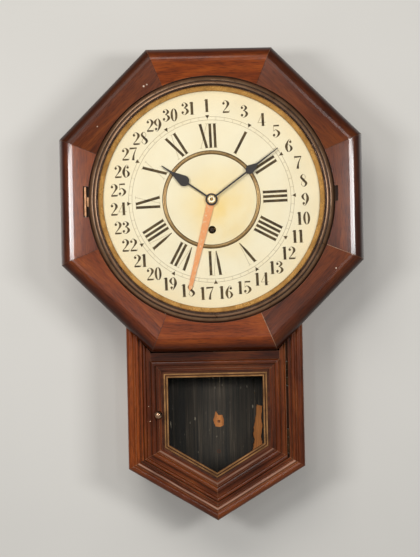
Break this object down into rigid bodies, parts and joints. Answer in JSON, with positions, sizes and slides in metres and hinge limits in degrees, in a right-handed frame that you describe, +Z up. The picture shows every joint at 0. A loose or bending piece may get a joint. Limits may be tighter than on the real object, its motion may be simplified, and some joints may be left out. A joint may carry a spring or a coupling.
{
  "type": "octagon drop clock",
  "caption": "Spring wall clock in a moulded wooden octagon head with a pointed glazed drop, hinged brass bezel, calendar dial and pear hands.",
  "frame": {"origin": "centre of the hanger keyhole's round hole, on the flat back of the case", "axes": "+Z up, +Y out of the back towards the wall, front faces -Y, +X to the viewer's right"},
  "size_m": [0.41, 0.119, 0.641],
  "materials": {
    "show_wood": "gloss varnish",
    "case_wood": "satin stain",
    "back_wood": "stained, black lining inside",
    "gilt": "gilded",
    "brass": "aged lacquer",
    "steel": "dull",
    "black_steel": "blackened",
    "coral_paint": "matt paint",
    "dial_paint": "aged cream",
    "glass": "clear"
  },
  "bodies": {
    "case": {"octagon_top": "show_wood", "octagon_upper_right": "show_wood", "octagon_right": "show_wood", "octagon_lower_right": "show_wood", "octagon_bottom": "show_wood", "octagon_lower_left": "show_wood", "octagon_left": "show_wood", "octagon_upper_left": "show_wood", "drop_mouldings": "show_wood", "case_side_left": "case_wood", "case_side_right": "case_wood", "case_top": "case_wood", "case_bottom_boards": "case_wood", "back_board": "back_wood", "hanger_plate": "steel", "wood_screws": "steel", "hinge_case_leaves": "brass", "hinge_pins": "steel", "bezel_catch_spring": "brass", "dial_plate": "dial_paint", "dial_centre_ring": "brass", "front_plate": "brass", "back_plate": "brass", "plate_pillars": "steel", "mainspring": "steel", "suspension_post": "brass", "suspension_spring": "steel"},
    "bezel": {"bezel_ring": "brass", "bezel_sight_ring": "brass", "bezel_glass": "glass", "bezel_hinge_leaf": "brass"},
    "door": {"door_stile_left": "show_wood", "door_stile_right": "show_wood", "door_top_rail": "show_wood", "door_lower_rails": "show_wood", "door_bead": "gilt", "door_glass": "glass", "door_hinge_leaves": "brass"},
    "latch": {"door_knob": "brass", "door_latch_tongue": "brass"},
    "minute_hand_set": {"cannon_pinion": "brass", "minute_hand": "black_steel", "hand_nut": "brass"},
    "hour_hand_set": {"hour_wheel": "brass", "hour_hand": "black_steel"},
    "calendar_hand_set": {"calendar_wheel": "brass", "calendar_hand": "coral_paint"},
    "minute_wheel_set": {"minute_wheel": "brass"},
    "date_wheel_set": {"date_wheel": "brass"},
    "great_wheel_set": {"great_wheel": "brass"},
    "winding_set": {"winding_arbor": "steel"},
    "click_set": {"click": "steel"},
    "second_wheel_set": {"second_wheel": "brass"},
    "centre_wheel_set": {"centre_wheel": "brass"},
    "third_wheel_set": {"third_wheel": "brass"},
    "escape_wheel_set": {"escape_wheel": "brass"},
    "verge_set": {"verge_crutch": "steel"},
    "pendulum": {"pendulum_rod": "steel", "pendulum_bob": "brass", "rating_nut": "brass"}
  },
  "joints": [
    {"name": "bezel_hinge", "type": "hinge", "parent": "case", "child": "bezel", "pos_m": [-0.1704, -0.1089, -0.13], "axis": [0, 0, -1], "range_deg": [0, 110]},
    {"name": "door_hinge", "type": "hinge", "parent": "case", "child": "door", "pos_m": [0.0976, -0.091, -0.414], "axis": [0, 0, 1], "range_deg": [0, 115]},
    {"name": "door_knob_turn", "type": "hinge", "parent": "door", "child": "latch", "pos_m": [-0.078, -0.09, -0.42], "axis": [0, 1, 0], "range_deg": [0, 90]},
    {"name": "minute_hand_turn", "type": "hinge", "parent": "case", "child": "minute_hand_set", "pos_m": [0, -0.1, -0.13], "axis": [0, 1, 0], "continuous": true},
    {"name": "hour_hand_turn", "type": "hinge", "parent": "case", "child": "hour_hand_set", "pos_m": [0, -0.095, -0.13], "axis": [0, 1, 0], "continuous": true},
    {"name": "minute_wheel_turn", "type": "hinge", "parent": "case", "child": "minute_wheel_set", "pos_m": [0.01273, -0.073, -0.14273], "axis": [0, 1, 0], "continuous": true},
    {"name": "date_wheel_turn", "type": "hinge", "parent": "case", "child": "date_wheel_set", "pos_m": [-0.018, -0.08, -0.13], "axis": [0, 1, 0], "continuous": true},
    {"name": "calendar_hand_turn", "type": "hinge", "parent": "case", "child": "calendar_hand_set", "pos_m": [0, -0.095, -0.13], "axis": [0, 1, 0], "continuous": true},
    {"name": "escape_wheel_turn", "type": "hinge", "parent": "case", "child": "escape_wheel_set", "pos_m": [0, -0.05, -0.092], "axis": [0, 1, 0], "continuous": true},
    {"name": "third_wheel_turn", "type": "hinge", "parent": "case", "child": "third_wheel_set", "pos_m": [0.01638, -0.05, -0.10981], "axis": [0, 1, 0], "continuous": true},
    {"name": "centre_wheel_turn", "type": "hinge", "parent": "case", "child": "centre_wheel_set", "pos_m": [0, -0.05, -0.13], "axis": [0, 1, 0], "continuous": true},
    {"name": "second_wheel_turn", "type": "hinge", "parent": "case", "child": "second_wheel_set", "pos_m": [-0.02236, -0.05, -0.14513], "axis": [0, 1, 0], "continuous": true},
    {"name": "great_wheel_turn", "type": "hinge", "parent": "case", "child": "great_wheel_set", "pos_m": [0, -0.038, -0.171], "axis": [0, 1, 0], "continuous": true},
    {"name": "winding_turn", "type": "hinge", "parent": "great_wheel_set", "child": "winding_set", "pos_m": [0, -0.06, -0.171], "axis": [0, 1, 0], "continuous": true},
    {"name": "click_lift", "type": "hinge", "parent": "great_wheel_set", "child": "click_set", "pos_m": [0, -0.04, -0.1565], "axis": [0, 1, 0], "range_deg": [0, 12], "stiffness_Nm_per_rad": 0.002, "springref_deg": -11.46},
    {"name": "pendulum_swing", "type": "hinge", "parent": "case", "child": "pendulum", "pos_m": [0, -0.02, -0.07], "axis": [0, 1, 0], "range_deg": [-4, 4]},
    {"name": "crutch_swing", "type": "hinge", "parent": "case", "child": "verge_set", "pos_m": [0, -0.04, -0.07], "axis": [0, 1, 0], "range_deg": [-4, 4]}
  ],
  "couplings": [
    {"joint": "hour_hand_turn", "follows": "minute_hand_turn", "ratio": 0.083333},
    {"joint": "minute_wheel_turn", "follows": "minute_hand_turn", "ratio": -0.33333},
    {"joint": "date_wheel_turn", "follows": "minute_hand_turn", "ratio": -0.041667},
    {"joint": "third_wheel_turn", "follows": "escape_wheel_turn", "ratio": -0.1},
    {"joint": "centre_wheel_turn", "follows": "escape_wheel_turn", "ratio": 0.011111},
    {"joint": "second_wheel_turn", "follows": "escape_wheel_turn", "ratio": -0.0037037},
    {"joint": "great_wheel_turn", "follows": "escape_wheel_turn", "ratio": 0.00069444},
    {"joint": "crutch_swing", "follows": "pendulum_swing", "ratio": 1}
  ]
}
